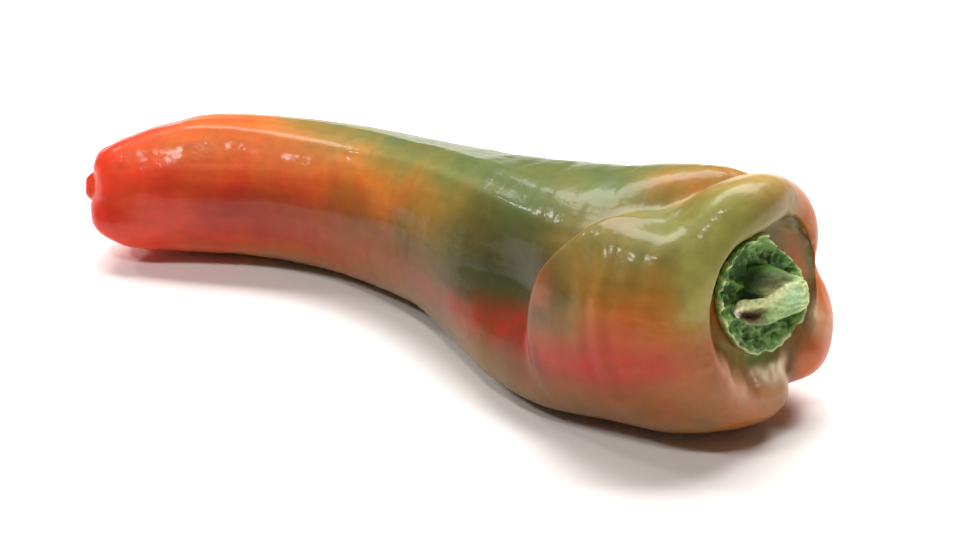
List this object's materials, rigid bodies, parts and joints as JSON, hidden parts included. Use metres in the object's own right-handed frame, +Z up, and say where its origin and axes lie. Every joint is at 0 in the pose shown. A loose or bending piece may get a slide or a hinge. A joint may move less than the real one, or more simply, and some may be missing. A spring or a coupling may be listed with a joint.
{
  "type": "long sweet bell pepper",
  "caption": "Long sweet pepper lying on its side, with a bowed body, a lobed shoulder, and a calyx and torn stem in the stem cavity.",
  "frame": {"origin": "middle of the bounding box, on the surface that the pepper lies on", "axes": "+X from the blossom end to the stem end, +Z up, -Y towards the side that carries the fold"},
  "size_m": [0.2046, 0.0764, 0.0617],
  "materials": {
    "skin": "waxy glossy skin, red at the blossom end, through orange to green and brown at the shoulder",
    "calyx": "crinkled dark green leaf with pale veins and edges",
    "stem": "pale green, fibrous, torn at the end"
  },
  "bodies": {
    "root": {"fruit": "skin", "calyx": "calyx", "stem": "stem"}
  },
  "joints": []
}
